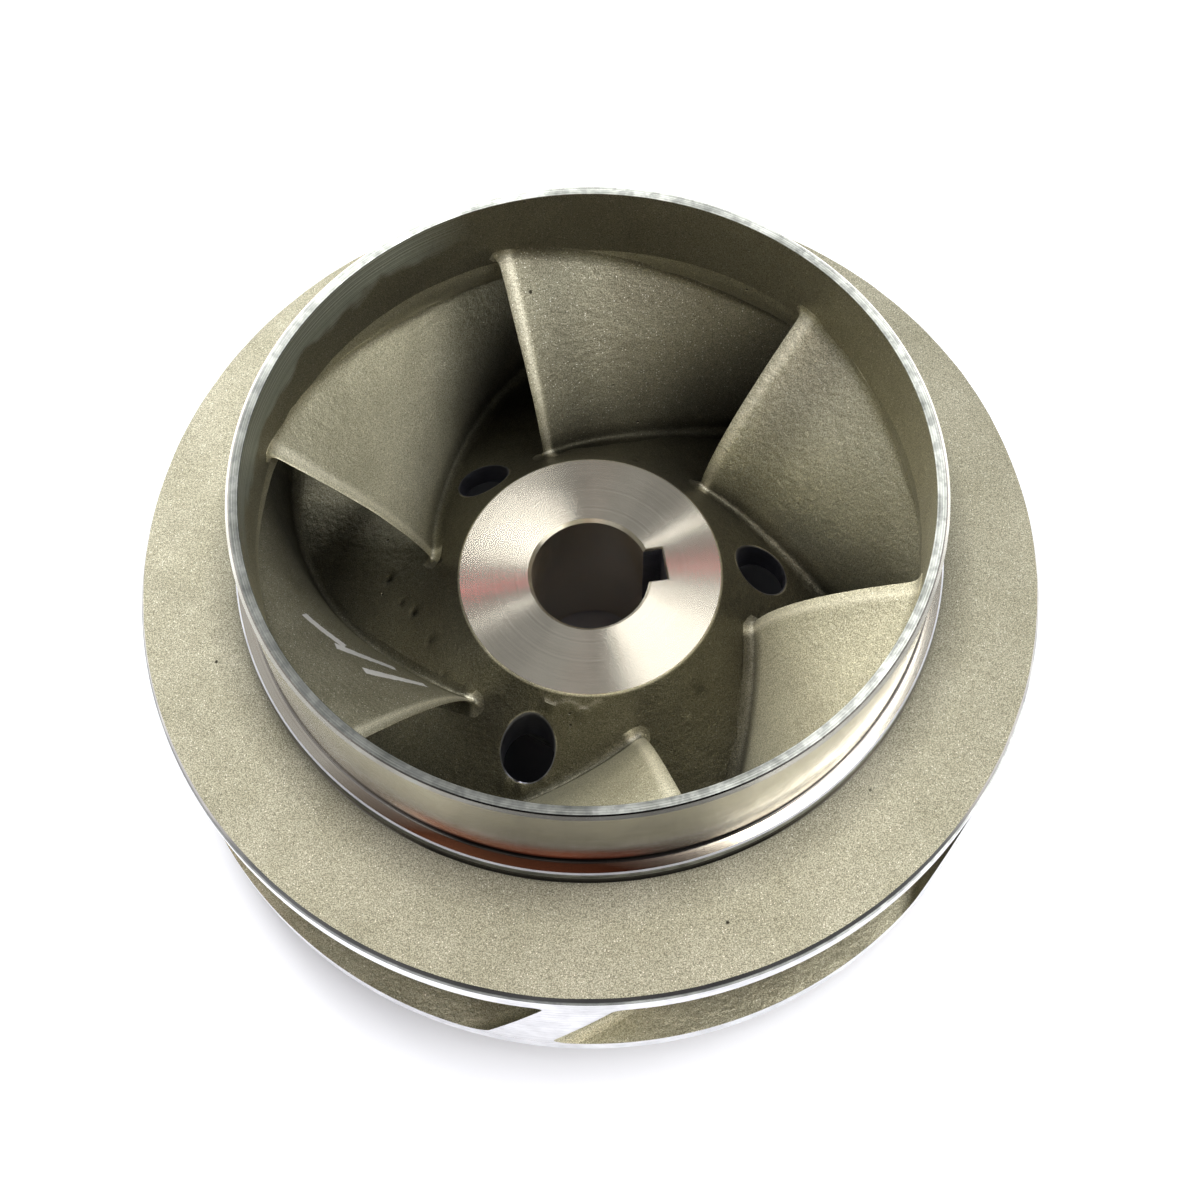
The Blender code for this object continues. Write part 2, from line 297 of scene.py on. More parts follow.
def vane_face(out, up):
    """Radius, angle and height of the first vane's visible face: a straight line from the hub
    to the shroud at each share of the way out, which sags near the leading edge."""
    hub_radius = VANE_START_RADIUS + out * (OUTER_RADIUS - VANE_START_RADIUS)
    hub_z = hub_height(hub_radius)
    shroud_radius, shroud_z = shroud_path(out)
    bow = 4.0 * up * (1.0 - up) * np.clip(1.0 - out, 0.0, None) ** 2
    radius = hub_radius + up * (shroud_radius - hub_radius) - EDGE_SAG_RADIUS * bow
    height = hub_z + up * (shroud_z - hub_z) - EDGE_SAG_HEIGHT * bow
    hub_angle = (VANE_START_ANGLE - HUB_END_ANGLE) * wrapped(out, HUB_WRAP)
    shroud_angle = (VANE_START_ANGLE - SHROUD_END_ANGLE) * wrapped(out, SHROUD_WRAP)
    angle = VANE_START_ANGLE - hub_angle - up * (shroud_angle - hub_angle)
    return radius, angle, height


# Finishes, which measure in metres

CLOUDY = 0.65                   # how rough the finer octaves of a noise are
COLOURS = {"data_type": "RGBA"}  # what makes a Mix node mix colours, and multiply them
TIMES = {"data_type": "RGBA", "blend_type": "MULTIPLY"}
GROOVE_DEPTH = 0.00003          # metres
SATIN = (0.56, 0.46)            # roughness between shot marks and on them, where water runs
RING_NOISE = (0.38, 0.62)       # the noise's values in the dull rings and in the bright ones
PASSAGE_DEPTHS = (0.0295, 0.057)  # radius less height where a passage's painted shade begins, and is deepest
FLANK_SHADE = (0.0005, 0.007)   # heights above the flank between which its shade ends
PASSAGE_MOUTH = (0.086, 0.099)  # radii between which it is light again
LEDGE_SHADE = (0.0795, 0.089)   # radii between which the corner's shade ends
SKIMMED_SIDE = 152.0            # where round the eye, in degrees
SKIMMED_HEIGHTS = (0.079, 0.0815)  # heights between which the skimmed patch begins


def hex_colour(text):
    """An sRGB hex colour as linear red, green, blue and alpha."""
    parts = [int(text[i:i + 2], 16) / 255.0 for i in (1, 3, 5)]
    linear = [p / 12.92 if p <= 0.04045 else ((p + 0.055) / 1.055) ** 2.4 for p in parts]
    return (*linear, 1.0)


def add_node(tree, kind, *inputs, **named):
    """Adds a node and returns it. Inputs fill its sockets in use, in their order. A capitalised
    name picks a socket, with an underscore for a space, and any other name sets a property. An
    input is a plain value, a node's output, or a node, which stands for its first output."""
    node = tree.nodes.new("ShaderNode" + kind)
    for name, value in named.items():
        if name[0].islower():
            setattr(node, name, value)
    filled = list(zip([socket for socket in node.inputs if socket.enabled], inputs))
    filled += [(node.inputs[name.replace("_", " ")], named[name]) for name in named if name[0].isupper()]
    for socket, value in filled:
        if isinstance(value, bpy.types.Node):
            value = next(output for output in value.outputs if output.enabled)
        if isinstance(value, bpy.types.NodeSocket):
            tree.links.new(value, socket)
        else:
            socket.default_value = value
    return node


def new_finish(name):
    """An empty material, and the function that adds a node to it."""
    finish = bpy.data.materials.new(name)
    finish.use_nodes = True
    finish.node_tree.nodes.clear()
    return finish, functools.partial(add_node, finish.node_tree)


def per_metre(millimetres):
    """Scale that makes a texture's grain this wide."""
    return 1.0 / (millimetres * MM)


def radius_of(add, where):
    """Distance from the axis and height above the rim's rear face, in metres."""
    parts = add("SeparateXYZ", where)
    flat = add("CombineXYZ", parts.outputs["X"], parts.outputs["Y"])
    height = add("Math", parts.outputs["Z"], HUB_REAR_LENGTH * MM, operation="SUBTRACT")
    return add("VectorMath", flat, operation="LENGTH"), height


def dots(add, where, apart, radius, soft, share):
    """1 in small round dots at random places, fading to 0 over a soft rim. Lengths are in
    millimetres: the dots' cells lie this far apart, and a share of them has one."""
    cells = add("TexVoronoi", where, Scale=per_metre(apart))
    near = add("MapRange", cells, radius / apart, (radius + soft) / apart, 1.0, 0.0)
    chance = add("SeparateColor", cells.outputs["Color"])
    chosen = add("Math", chance, share, operation="LESS_THAN")
    return add("Math", near, chosen, operation="MULTIPLY")


def blasted_stainless(name, dark, light, rough_high, rough_low, relief, shade_by):
    """Investment-cast stainless steel, bead blasted: a warm grey-green metal with no clear
    reflections. Its fine sparkle, the glints of shot marks that each turn their own way, is a
    painted highlight: bright flecks in the colour. Edges that wear has brightened are paler, and
    the attribute also carries painted highlights and shadows; here and there a small gas pit is
    left. Real shot marks are 0.1 mm wide, too fine to show, and are drawn 0.28 mm wide. The
    foundry's patches are 16 mm wide, and the mould's relief 2 mm."""
    finish, add = new_finish(name)
    where = add("TexCoord").outputs["Object"]
    grain = add("TexNoise", where, Scale=per_metre(0.28), Detail=1.0, Roughness=CLOUDY)
    patches = add("TexNoise", where, Scale=per_metre(16.0), Detail=4.0, Roughness=CLOUDY)
    flecks = dots(add, where, apart=0.65, radius=0.07, soft=0.09, share=0.3)
    pits = dots(add, where, apart=6.5, radius=0.18, soft=0.28, share=0.14)

    # Colour: patches, shot marks, painted glints, pits, painted light and shade, and edges with wear and
    # painted light
    paler = add("MapRange", patches, 0.3, 0.7, 0.0, 1.0)
    tone = add("Mix", paler, hex_colour(dark), hex_colour(light), **COLOURS)
    struck = add("MapRange", grain, 0.32, 0.68, 0.0, 1.0)
    fine = add("Mix", struck, hex_colour("#b2b2ad"), hex_colour("#ffffff"), **COLOURS)
    colour = add("Mix", 1.0, tone, fine, **TIMES)
    # Painted glints: bright flecks in the colour, where shot marks would catch a lamp
    painted_glints = add("Math", flecks, 0.8, operation="MULTIPLY")
    colour = add("Mix", painted_glints, colour, hex_colour("#fbf8ea"), **COLOURS)
    colour = add("Mix", pits, colour, hex_colour("#4b473c"), **COLOURS)
    # Painted light and shade, from the finish's shade function
    colour = shade_by(add, where, colour)
    edge = add("Attribute", attribute_name="wear_and_painted_light").outputs["Fac"]
    # Below 0 the colour darkens: pits, and the painted shadow behind some leading edges
    colour = add("Mix", 1.0, colour, add("MapRange", edge, -1.0, 0.0, 0.1, 1.0), **TIMES)
    # Above 0 it pales: edges brightened by wear, and the painted highlight along the leading edges
    scuffs_and_highlights = add("Math", edge, add("MapRange", grain, 0.3, 0.6, 0.45, 1.0), operation="MULTIPLY")
    scuffs_and_highlights = add("Math", scuffs_and_highlights, 0.0, operation="MAXIMUM")
    colour = add("Mix", scuffs_and_highlights, colour, hex_colour("#f1ecd6"), **COLOURS)

    # Relief in millimetres: shot marks, the mould's skin and the pits
    height = add("Math", grain, 0.06, operation="MULTIPLY")
    if relief:
        uneven = add("TexNoise", where, Scale=per_metre(2.0), Detail=2.5, Roughness=CLOUDY)
        height = add("Math", uneven, relief, height, operation="MULTIPLY_ADD")
    height = add("Math", pits, -0.25, height, operation="MULTIPLY_ADD")
    shader = add(
        "BsdfPrincipled", colour, 1.0, add("MapRange", grain, 0.3, 0.7, rough_high, rough_low),
        Normal=add("Bump", Strength=1.0, Distance=MM, Height=height),
    )
    add("OutputMaterial", shader)
    return finish


def painted_shade_in_the_corner(add, where, colour):
    """Painted shade: the corner under the ledge is darkened in the colour, where the neck and
    the ledge shade it. The front of the flange is painted a little paler than its back, for how
    the light falls."""
    corner = add("MapRange", radius_of(add, where)[0], *LEDGE_SHADE, 0.58, 1.0)
    # Painted light: paler in front, darker behind
    front = add("MapRange", add("SeparateXYZ", where).outputs["Y"], -0.09, 0.06, 1.08, 0.84)
    return add("Mix", 1.0, colour, add("Math", corner, front, operation="MULTIPLY"), **TIMES)


def painted_shade_in_the_passage(add, where, colour):
    """Painted shade: the metal darkens with the depth along a passage and towards the hub's
    flank, where shade falls, less on the flank's left side, where painted light lifts it, and is
    lighter again at the passage's mouth on the rim."""
    radius, height = radius_of(add, where)
    depth = add("Math", radius, height, operation="SUBTRACT")
    inner = add("MapRange", depth, *PASSAGE_DEPTHS, 1.0, 0.24)
    reach = add("MapRange", radius, HUB_RADIUS * MM, OUTER_RADIUS * MM, 1.0, 0.0)
    rise = add("Math", reach, HUB_CURVE_POWER, operation="POWER")
    flank = add("MapRange", rise, 0.0, 1.0, BACK_RIM * MM, HUB_FACE * MM)
    above = add("Math", height, flank, operation="SUBTRACT")
    low = add("MapRange", above, *FLANK_SHADE, 0.45, 1.0)
    near = add("MapRange", above, *FLANK_SHADE, 1.0, 0.0)
    # Painted light on the flank's left side
    left = add("VectorMath", where, (-0.95, -0.2, 0.0), operation="DOT_PRODUCT")
    gain = add("MapRange", left, 0.03, 0.052, -0.35, 1.2)
    gain = add("Math", near, gain, 1.0, operation="MULTIPLY_ADD")
    both = add("Math", add("Math", inner, low, operation="MULTIPLY"), gain, operation="MULTIPLY")
    outer = add("MapRange", radius, *PASSAGE_MOUTH, 0.0, 1.02)
    return add("Mix", 1.0, colour, add("Math", both, outer, operation="MAXIMUM"), **TIMES)


def skimmed_eye_wall_painted_light(add, where, colour):
    """Round the back left of the eye a boring tool has skimmed the cast wall and left a patch
    of smoother, bluish metal with fine rings. The wall is painted paler in front and on the
    right, a painted light for how it faces the lamps."""
    height = radius_of(add, where)[1]
    way = math.radians(SKIMMED_SIDE)
    facing = add("VectorMath", where, (math.cos(way), math.sin(way), 0.0), operation="DOT_PRODUCT")
    sector = add("MapRange", facing, 0.055, 0.066, 0.0, 1.0)
    clouds = add("TexNoise", where, Scale=per_metre(14.0), Detail=2.0, Roughness=CLOUDY)
    torn = add("Math", clouds, 0.012, height, operation="MULTIPLY_ADD")
    skimmed = add("MapRange", torn, *SKIMMED_HEIGHTS, 0.0, 0.85)
    patch = add("Math", sector, skimmed, operation="MULTIPLY")
    rings = add("TexNoise", height, noise_dimensions="1D", Scale=per_metre(0.5), Detail=2.0)
    ringed = add("MapRange", rings, 0.35, 0.65, 0.0, 1.0)
    bright = add("Mix", ringed, hex_colour("#8e958c"), hex_colour("#ccd2c8"), **COLOURS)
    # Painted light: paler in front and on the right
    right = add("VectorMath", where, (0.45, -0.9, 0.0), operation="DOT_PRODUCT")
    colour = add("Mix", 1.0, colour, add("MapRange", right, -0.06, 0.03, 0.5, 1.6), **TIMES)
    return add("Mix", patch, colour, bright, **COLOURS)


def on_painted_vane(out, up):
    """A point of the painted vane's visible face, in metres."""
    radius, angle, height = vane_face(out, up)
    return on_axis(radius, angle + 360.0 / VANES * PAINTED_VANE, height + HUB_REAR_LENGTH) * MM


def paint_strokes(add, where, colour):
    """Three short slanted strokes of a white paint pen, such as an inspector leaves. A stroke
    is where the distances along it and across it, in the plane of the face, are both small."""
    # The passages' painted shade, as on the other vanes
    colour = painted_shade_in_the_passage(add, where, colour)
    clouds = add("TexNoise", where, Scale=per_metre(1.5), Detail=2.0, Roughness=CLOUDY)
    for first, last in PAINT_STROKES:
        start, end = on_painted_vane(*first), on_painted_vane(*last)
        length = float(np.linalg.norm(end - start))
        way = (end - start) / length
        rise = on_painted_vane(first[0], first[1] + 0.1) - start
        side = np.cross(way, np.cross(way, rise))
        side /= np.linalg.norm(side)
        away = add("VectorMath", where, tuple((start + end) / 2.0), operation="SUBTRACT")
        mask = PAINT_COVERS
        for axis, reach in ((way, length / 2.0), (side, PAINT_WIDTH * MM / 2.0)):
            far = add("VectorMath", away, tuple(axis), operation="DOT_PRODUCT")
            far = add("Math", far, operation="ABSOLUTE")
            far = add("Math", clouds, PAINT_RAGGED * MM, far, operation="MULTIPLY_ADD")
            near = add("MapRange", far, reach + 0.0003, reach + 0.0006, 1.0, 0.0)
            mask = add("Math", near, mask, operation="MULTIPLY")
        colour = add("Mix", mask, colour, hex_colour("#ffffff"), **COLOURS)
    return colour


def turned_stainless(name, roughness, anisotropy, groove, tones, painted_light_side=None, stained=0.0, painted_warm_reflection=None):
    """Stainless steel off the lathe: bright, with rings of tool marks that spread a lamp's
    reflection across them, so that a flat face shows a bright bow tie. Real rings are 0.2 mm
    apart, too fine to show, and are drawn 0.6 mm apart. Roughness and tones go from the dull
    rings to the bright ones. A painted light side gives a direction, two distances along it and
    two strengths, between which the metal is painted paler or darker for how light falls on it.
    It can also be stained in small dark patches, to a given strength, or carry a painted warm
    reflection in front, a little to the left."""
    finish, add = new_finish(name)
    where = add("TexCoord").outputs["Object"]
    along = add("Math", *radius_of(add, where), operation="ADD")
    rings = add("TexNoise", along, noise_dimensions="1D", Scale=per_metre(0.6), Detail=3.0, Roughness=CLOUDY)
    smudge = add("TexNoise", where, Scale=per_metre(9.0), Detail=4.0, Roughness=0.55)
    smudge = add("MapRange", smudge, 0.0, 1.0, 0.0, 0.5)
    ringed = add("Math", rings, 0.5, smudge, operation="MULTIPLY_ADD")
    share = add("MapRange", ringed, *RING_NOISE, 0.0, 1.0)
    tone = add("Mix", share, *(hex_colour(text) for text in tones), **COLOURS)
    # Painted light: paler or darker along a direction, for how light falls
    if painted_light_side:
        side = add("VectorMath", where, painted_light_side[0], operation="DOT_PRODUCT")
        tone = add("Mix", 1.0, tone, add("MapRange", side, *painted_light_side[1:]), **TIMES)
    # A painted reflection of something warm, on the front a little to the left
    if painted_warm_reflection:
        back = add("VectorMath", where, (0.22, 0.975, 0.0), operation="DOT_PRODUCT")
        tone = add("Mix", add("MapRange", back, -0.076, -0.064, 1.0, 0.0), tone, hex_colour(painted_warm_reflection), **COLOURS)
    if stained:
        patches = add("TexNoise", where, Scale=per_metre(2.6), Detail=3.0, Roughness=CLOUDY)
        patches = add("MapRange", patches, 0.45, 0.6, 0.0, stained)
        tone = add("Mix", patches, tone, hex_colour("#3c3e40"), **COLOURS)
    shader = add(
        "BsdfPrincipled", tone, 1.0, add("MapRange", ringed, *RING_NOISE, *roughness),
        Anisotropic=anisotropy, Anisotropic_Rotation=0.25,
        Normal=add("Bump", Strength=groove, Distance=GROOVE_DEPTH, Height=rings),
        Tangent=add("Tangent", direction_type="RADIAL", axis="Z"),
    )
    add("OutputMaterial", shader)
    return finish


CAST = blasted_stainless(
    "blasted_cast_stainless", "#c3bfa8", "#d3cfba", 0.76, 0.66, 0.0, painted_shade_in_the_corner,
)
PASSAGE = blasted_stainless(
    "cast_stainless_in_passages", "#c0bba2", "#d1cdb4", *SATIN, 0.24, painted_shade_in_the_passage,
)
EYE = blasted_stainless(
    "cast_stainless_of_eye_wall", "#bab59d", "#cbc7af", 0.52, 0.42, 0.12, skimmed_eye_wall_painted_light,
)
PAINTED_LIGHT_VANE_FINISHES = [               # each vane painted lighter or darker for the light that reaches it
    blasted_stainless("cast_stainless_of_vane_1", "#999480", "#a7a48f", *SATIN, 0.22, painted_shade_in_the_passage),
    blasted_stainless("cast_stainless_of_vane_2", "#d0cbb0", "#e3dec3", *SATIN, 0.22, painted_shade_in_the_passage),
    blasted_stainless("cast_stainless_of_vane_3", "#9b9781", "#afab96", *SATIN, 0.22, paint_strokes),
    PASSAGE,
    blasted_stainless(
        "cast_stainless_of_vane_5", "#d7d1b7", "#e8e3c8", 0.74, 0.64, 0.22, painted_shade_in_the_passage,
    ),
    blasted_stainless("cast_stainless_of_vane_6", "#ccc7ad", "#ddd9c0", *SATIN, 0.3, painted_shade_in_the_passage),
]
# Painted shade: the neck is darker in front and painted paler round the rest
TURNED = turned_stainless(
    "turned_stainless_bright", (0.24, 0.16), 0.75, 0.3, ("#b5b1a4", "#e2dfd4"),
    painted_light_side=((0.0, 1.0, 0.0), -0.0755, -0.07, 0.6, 1.38),
)
# The ledge carries a painted warm reflection in front
LEDGE = turned_stainless(
    "turned_stainless_ledge", (0.2, 0.14), 0.3, 0.3, ("#c8c0b2", "#dcd6c8"), painted_warm_reflection="#563526",
)
FACED = turned_stainless("faced_stainless_hub", (0.27, 0.24), 1.0, 0.06, ("#b0aa9c", "#beb8aa"))
# Painted light: paler at the back right, darker at the front left
DULL = turned_stainless(
    "turned_stainless_dull", (0.45, 0.35), 0.2, 0.6, ("#70726c", "#c3c5be"),
    painted_light_side=((0.9, 0.43, 0.0), -0.057, 0.032, 0.45, 1.75), stained=0.38,
)
RIM = turned_stainless(
    "ground_stainless_rim", (0.4, 0.3), 0.2, 0.3, ("#cfcfd2", "#fbfbfd"), stained=0.08,
)
# Painted shade: chamfers, the hollow corner and the ledge's wall are near-black metal in front, for the
# shade and dark reflections there, and painted far paler behind
EDGE = turned_stainless(
    "chamfered_stainless_painted_dark", (0.34, 0.24), 0.3, 0.4, ("#1c1b1a", "#2b2926"),
    painted_light_side=((0.0, 1.0, 0.0), -0.072, -0.058, 1.0, 18.0),
)
BORE = turned_stainless("bored_stainless_dark", (0.26, 0.2), 0.5, 0.08, ("#e2d8c6", "#efe6d5"))
DRILLED = turned_stainless("drilled_stainless_dark", (0.45, 0.35), 0.2, 0.2, ("#6c6d76", "#7e7f88"))


# Front shroud with its neck

def front_shroud():
    """A profile of radius and height, outer side running down, carried round the axis. The
    cast rows are moved a tenth of a millimetre or so by the mould's unevenness."""
    outline = []
    finishes = [CAST, TURNED, DULL, EDGE, RIM, PASSAGE, LEDGE, EYE]

    def run(points, finish, cast=0.0):
        """Adds points of one finish; cast says how far the unevenness moves them."""
        outline.extend((r, z, finishes.index(finish), cast) for r, z in points)

    # Neck, with its top face, chamfer and running band
    run([(EYE_RADIUS + EYE_BREAK, HEIGHT), (EYE_RADIUS + 1.0, HEIGHT)], DULL)
    run([(NECK_RADIUS - NECK_CHAMFER, HEIGHT)], EDGE)
    run([(NECK_RADIUS - NECK_CHAMFER * 2 / 3, HEIGHT - NECK_CHAMFER / 3)], TURNED)
    run([(NECK_RADIUS, HEIGHT - NECK_CHAMFER)], TURNED)
    run([(NECK_RADIUS, z) for z in np.linspace(78.0, LEDGE_TOP + 2.6, 5)], TURNED)
    run([(NECK_RADIUS, LEDGE_TOP + 2.4)], LEDGE)

    # Ledge: a hollow corner, its floor, a broken edge and its wall
    corner = np.radians([0.0, 20.0, 45.0, 70.0])
    hollow = LEDGE_CORNER * (1.0 - np.stack([np.cos(corner), np.sin(corner)], axis=-1))
    run(hollow + (NECK_RADIUS, LEDGE_TOP), EDGE)
    run([(NECK_RADIUS + LEDGE_CORNER, LEDGE_TOP)], LEDGE)
    run([(LEDGE_RADIUS - EDGE_BREAK, LEDGE_TOP)], RIM)
    run([(LEDGE_RADIUS, LEDGE_TOP - EDGE_BREAK)], DULL)
    run([(LEDGE_RADIUS, LEDGE_FOOT + 2.8), (LEDGE_RADIUS, LEDGE_FOOT + 1.1)], EDGE)

    # Cast flange, from the fillet at the ledge's foot out to the turned rim
    slope = (FRONT_RIM_EDGE - LEDGE_FOOT) / (FRONT_RIM_EDGE_RADIUS - LEDGE_RADIUS)
    run([(LEDGE_RADIUS + 0.25, LEDGE_FOOT + 0.45), (LEDGE_RADIUS + 0.7, LEDGE_FOOT + 0.05)], CAST, 0.4)
    across = np.linspace(LEDGE_RADIUS + 1.4, FRONT_RIM_EDGE_RADIUS, 22)[:-1]
    run(zip(across, LEDGE_FOOT + slope * (across - LEDGE_RADIUS)), CAST, 1.0)
    run([(FRONT_RIM_EDGE_RADIUS, FRONT_RIM_EDGE)], EDGE, 0.7)
    run([(FRONT_RIM_EDGE_RADIUS + 0.55, FRONT_RIM_EDGE - 1.4)], DULL)
    run([(OUTER_RADIUS, FRONT_RIM_BAND_TOP)], RIM)

    # Inside: the passages' roof and the eye's wall
    run([(OUTER_RADIUS, FRONT_RIM_UNDERSIDE)], PASSAGE)
    run(zip(*shroud_arc(np.radians(np.linspace(88.0, 0.0, 40)))), PASSAGE, 1.0)
    run([(EYE_RADIUS, z) for z in np.linspace(WALL_TURNS_OUT + 1.5, HEIGHT - EYE_BREAK, 14)[:-1]], EYE, 0.8)
    run([(EYE_RADIUS, HEIGHT - EYE_BREAK)], DULL)

    # Carried round the axis, with the unevenness and the marks square to the profile
    radius, height, slot, cast = (np.array(column) for column in zip(*outline))
    profile = np.stack([radius, height])
    along = np.roll(profile, -1, axis=1) - np.roll(profile, 1, axis=1)
    normal = np.stack([-along[1], along[0]]) / np.hypot(*along)
    angle = np.arange(AROUND) * 360.0 / AROUND
    points = on_axis(radius[:, None], angle[None, :], height[:, None])
    push = cast[:, None] * skin(points, FLANGE_SKIN)
    outside = (radius > LEDGE_RADIUS + 0.5) & (height > FRONT_RIM_EDGE)
    push += marks(points[..., 0], points[..., 1], CONE_MARKS) * outside[:, None]
    moved = profile[:, :, None] + push * normal[:, :, None]
    points = on_axis(moved[0], angle[None, :], moved[1]).reshape(-1, 3)
    cells = ring_cells(len(radius), AROUND).reshape(-1, 4)
    return casting_piece("front_shroud", points, list(cells), np.repeat(slot.astype(int), AROUND), finishes)


# Hub and back shroud

def bore_outline(offset):
    """Radius and angle round the bore with its keyway, widened by an offset: an arc of the
    bore, then one side of the keyway, its floor and its other side."""
    radius = BORE_RADIUS + offset
    half = 0.5 * KEYWAY_WIDTH + 0.6 * offset
    floor = BORE_RADIUS + KEYWAY_DEPTH + 0.5 * offset
    mouth = math.degrees(math.asin(half / radius))
    columns = np.arange(AROUND) - AROUND // 2           # 0 is the middle of the keyway's floor
    place = np.abs(columns)
    sign = np.sign(columns)
    turn = np.radians(mouth + (place - KEYWAY_SIDE) * (180.0 - mouth) / (AROUND // 2 - KEYWAY_SIDE))
    start = radius * math.cos(math.radians(mouth))
    reach = start + (floor - start) * (KEYWAY_SIDE - place) / (KEYWAY_SIDE - KEYWAY_BOTTOM)
    where = [place > KEYWAY_SIDE, place > KEYWAY_BOTTOM]
    x = np.select(where, [radius * np.cos(turn), reach], floor)
    y = np.select(where, [sign * radius * np.sin(turn), sign * half], columns * half / KEYWAY_BOTTOM)
    return np.hypot(x, y), np.degrees(np.arctan2(y, x)) + KEYWAY_ANGLE


